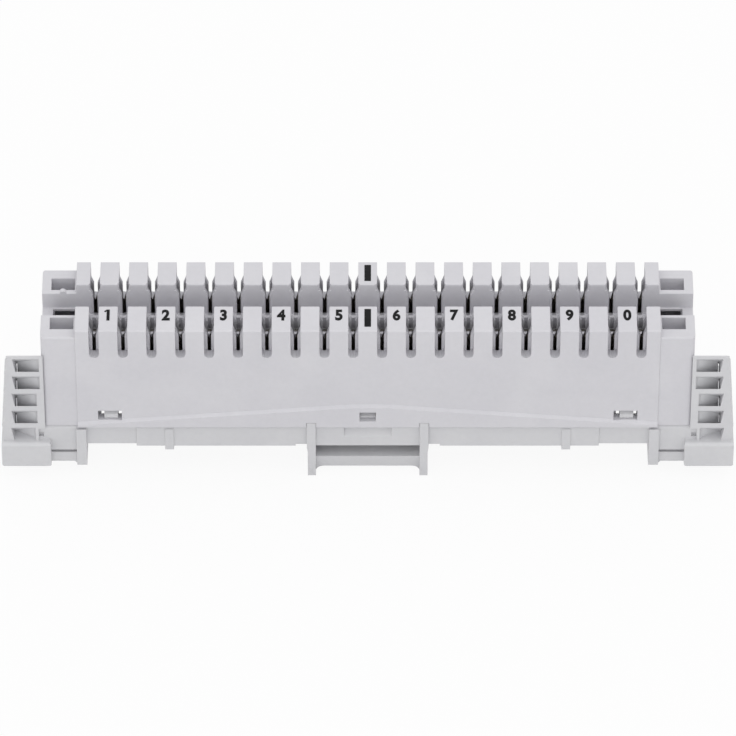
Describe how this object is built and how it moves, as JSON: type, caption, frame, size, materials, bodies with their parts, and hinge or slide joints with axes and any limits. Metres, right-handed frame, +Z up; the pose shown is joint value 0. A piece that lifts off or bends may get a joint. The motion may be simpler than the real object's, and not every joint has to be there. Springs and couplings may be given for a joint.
{
  "type": "punch down wiring block",
  "caption": "Two-row punch down wiring strip with slotted teeth over contact springs, a central plug channel, wire guides at both ends and a clip-on base.",
  "frame": {"origin": "middle of the plane that the centre bracket's feet stand on, below the middle of the strip", "axes": "+X along the strip from the first pair to the last, +Y to the rear row, +Z up towards the tooth tops"},
  "size_m": [0.1234, 0.0194, 0.0336],
  "materials": {
    "housing_plastic": "injection moulded PBT, fine matt surface, cool light grey",
    "base_plastic": "injection moulded PBT, fine matt surface, cool light grey",
    "contact_metal": "stamped brass with silver plating"
  },
  "bodies": {
    "root": {"upper_housing": "housing_plastic", "lower_housing": "base_plastic", "contact_front_01": "contact_metal", "contact_front_02": "contact_metal", "contact_front_03": "contact_metal", "contact_front_04": "contact_metal", "contact_front_05": "contact_metal", "contact_front_06": "contact_metal", "contact_front_07": "contact_metal", "contact_front_08": "contact_metal", "contact_front_09": "contact_metal", "contact_front_10": "contact_metal", "contact_front_11": "contact_metal", "contact_front_12": "contact_metal", "contact_front_13": "contact_metal", "contact_front_14": "contact_metal", "contact_front_15": "contact_metal", "contact_front_16": "contact_metal", "contact_front_17": "contact_metal", "contact_front_18": "contact_metal", "contact_front_19": "contact_metal", "contact_front_20": "contact_metal", "contact_rear_01": "contact_metal", "contact_rear_02": "contact_metal", "contact_rear_03": "contact_metal", "contact_rear_04": "contact_metal", "contact_rear_05": "contact_metal", "contact_rear_06": "contact_metal", "contact_rear_07": "contact_metal", "contact_rear_08": "contact_metal", "contact_rear_09": "contact_metal", "contact_rear_10": "contact_metal", "contact_rear_11": "contact_metal", "contact_rear_12": "contact_metal", "contact_rear_13": "contact_metal", "contact_rear_14": "contact_metal", "contact_rear_15": "contact_metal", "contact_rear_16": "contact_metal", "contact_rear_17": "contact_metal", "contact_rear_18": "contact_metal", "contact_rear_19": "contact_metal", "contact_rear_20": "contact_metal"}
  },
  "joints": []
}
